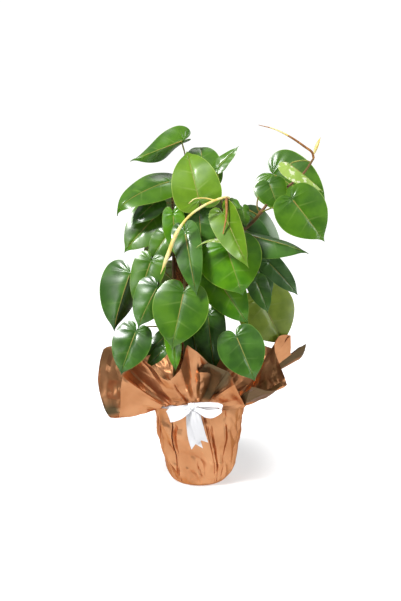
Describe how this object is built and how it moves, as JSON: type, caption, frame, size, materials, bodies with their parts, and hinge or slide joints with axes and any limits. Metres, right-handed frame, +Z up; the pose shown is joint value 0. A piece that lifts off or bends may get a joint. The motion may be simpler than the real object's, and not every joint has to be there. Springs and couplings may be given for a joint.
{
  "type": "potted heartleaf philodendron",
  "caption": "Heartleaf philodendron trained up a coir pole in a round nursery pot, gift wrapped in flared copper paper tied with a white ribbon bow.",
  "frame": {"origin": "centre of the wrapped pot's flat base, on the surface that it stands on", "axes": "+Z up along the pot; the bow and the front of the plant face -Y; +X to the viewer's right"},
  "size_m": [0.4362, 0.308, 0.6925],
  "materials": {
    "leaf": "waxy green leaf, glossy",
    "young_leaf": "young yellow-green leaf, soft gloss",
    "stem": "olive to brown stem",
    "new_shoot": "pale yellow new shoot",
    "brown_shoot": "tan papery shoot",
    "copper_paper": "metallised copper paper, creased",
    "white_ribbon": "white satin",
    "pot_plastic": "matt black plastic",
    "soil": "dark moist potting mix",
    "coir": "rough coconut fibre",
    "stake_wood": "plain softwood"
  },
  "bodies": {
    "root": {"paper_wrap": "copper_paper", "ribbon": "white_ribbon", "nursery_pot": "pot_plastic", "soil": "soil", "pole_stake": "stake_wood", "coir_sleeve": "coir", "vine_front": "stem", "vine_front_right": "stem", "vine_right": "stem", "vine_left": "stem", "vine_back_left": "stem", "vine_back_right": "stem", "shoot_front": "new_shoot", "shoot_side": "brown_shoot", "leaf_01": "leaf", "leaf_02": "leaf", "leaf_03": "young_leaf", "leaf_04": "leaf", "leaf_05": "leaf", "leaf_06": "leaf", "leaf_07": "leaf", "leaf_08": "young_leaf", "leaf_09": "leaf", "leaf_10": "leaf", "leaf_11": "leaf", "leaf_12": "leaf", "leaf_13": "leaf", "leaf_14": "young_leaf", "leaf_15": "young_leaf", "leaf_16": "leaf", "leaf_17": "leaf", "leaf_18": "leaf", "leaf_19": "leaf", "leaf_20": "leaf", "leaf_21": "leaf", "leaf_22": "leaf", "leaf_23": "leaf", "leaf_24": "leaf", "leaf_25": "leaf", "leaf_26": "young_leaf", "leaf_27": "leaf", "leaf_28": "leaf", "leaf_29": "leaf", "leaf_30": "leaf", "leaf_31": "leaf", "leaf_32": "leaf", "leaf_33": "leaf", "leaf_34": "leaf", "leaf_35": "leaf", "leaf_36": "leaf", "leaf_37": "leaf", "leaf_38": "leaf", "leaf_39": "leaf", "leaf_40": "leaf", "leaf_41": "leaf", "leaf_42": "leaf", "leaf_43": "leaf", "leaf_44": "leaf", "leaf_45": "leaf", "leaf_46": "leaf"}
  },
  "joints": []
}
